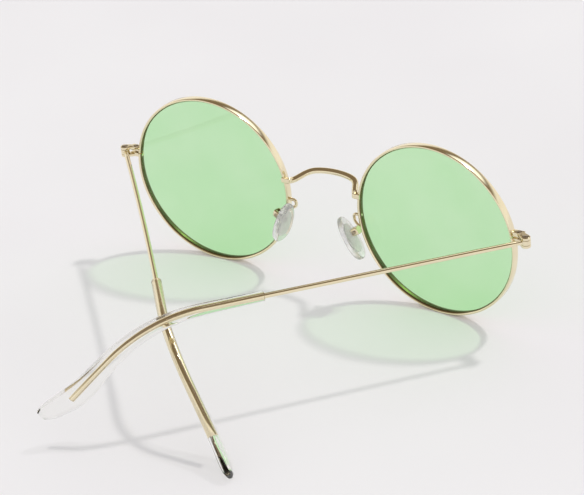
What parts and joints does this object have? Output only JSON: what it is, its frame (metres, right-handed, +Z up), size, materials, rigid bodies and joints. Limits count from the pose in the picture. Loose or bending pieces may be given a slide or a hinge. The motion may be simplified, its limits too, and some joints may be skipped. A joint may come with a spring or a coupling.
{
  "type": "round wire-rim sunglasses",
  "caption": "Round wire-rim sunglasses with pale gold frame, light green lenses, folding wire temples with clear tips and rocking silicone nose pads.",
  "frame": {"origin": "middle of the standing glasses' footprint, on the table that the rims and the left tip rest on", "axes": "+X to the wearer's left, +Y from the front back towards the wearer, +Z up"},
  "size_m": [0.1384, 0.1132, 0.0519],
  "materials": {
    "gold_wire": "polished pale champagne gold plating",
    "screw_steel": "turned, slightly oxidised",
    "lens_green": "clear light green tint, polished",
    "clear_tip": "water-clear acetate, tumbled to a gloss",
    "clear_silicone": "clear soft silicone",
    "pad_core": "moulded core inside the pad"
  },
  "bodies": {
    "front": {"bridge": "gold_wire", "left_rim": "gold_wire", "left_lens": "lens_green", "left_closing_block_upper": "gold_wire", "left_closing_block_lower": "gold_wire", "left_closing_screw": "screw_steel", "left_hinge_screw": "screw_steel", "left_pad_arm": "gold_wire", "left_pad_box": "gold_wire", "left_pad_screw": "screw_steel", "right_rim": "gold_wire", "right_lens": "lens_green", "right_closing_block_upper": "gold_wire", "right_closing_block_lower": "gold_wire", "right_closing_screw": "screw_steel", "right_hinge_screw": "screw_steel", "right_pad_arm": "gold_wire", "right_pad_box": "gold_wire", "right_pad_screw": "screw_steel"},
    "left_temple": {"left_temple_knuckle": "gold_wire", "left_temple_wire": "gold_wire", "left_temple_tip": "clear_tip"},
    "left_pad": {"left_nose_pad": "clear_silicone", "left_pad_insert": "pad_core"},
    "right_temple": {"right_temple_knuckle": "gold_wire", "right_temple_wire": "gold_wire", "right_temple_tip": "clear_tip"},
    "right_pad": {"right_nose_pad": "clear_silicone", "right_pad_insert": "pad_core"}
  },
  "joints": [
    {"name": "left_temple_fold", "type": "hinge", "parent": "front", "child": "left_temple", "pos_m": [0.0679, -0.04556, 0.03031], "axis": [0, -0.0033, 1], "range_deg": [-42.7, 36]},
    {"name": "right_temple_fold", "type": "hinge", "parent": "front", "child": "right_temple", "pos_m": [-0.0679, -0.04556, 0.03031], "axis": [0, 0.0033, -1], "range_deg": [-42.7, 36]},
    {"name": "left_pad_rock", "type": "hinge", "parent": "front", "child": "left_pad", "pos_m": [0.01321, -0.04492, 0.02127], "axis": [0.1954, 0.9779, 0.0744], "range_deg": [-8, 8]},
    {"name": "right_pad_rock", "type": "hinge", "parent": "front", "child": "right_pad", "pos_m": [-0.01284, -0.04492, 0.02154], "axis": [0.1801, -0.9778, -0.1072], "range_deg": [-8, 8]}
  ],
  "couplings": [
    {"joint": "right_temple_fold", "follows": "left_temple_fold", "ratio": 1}
  ]
}
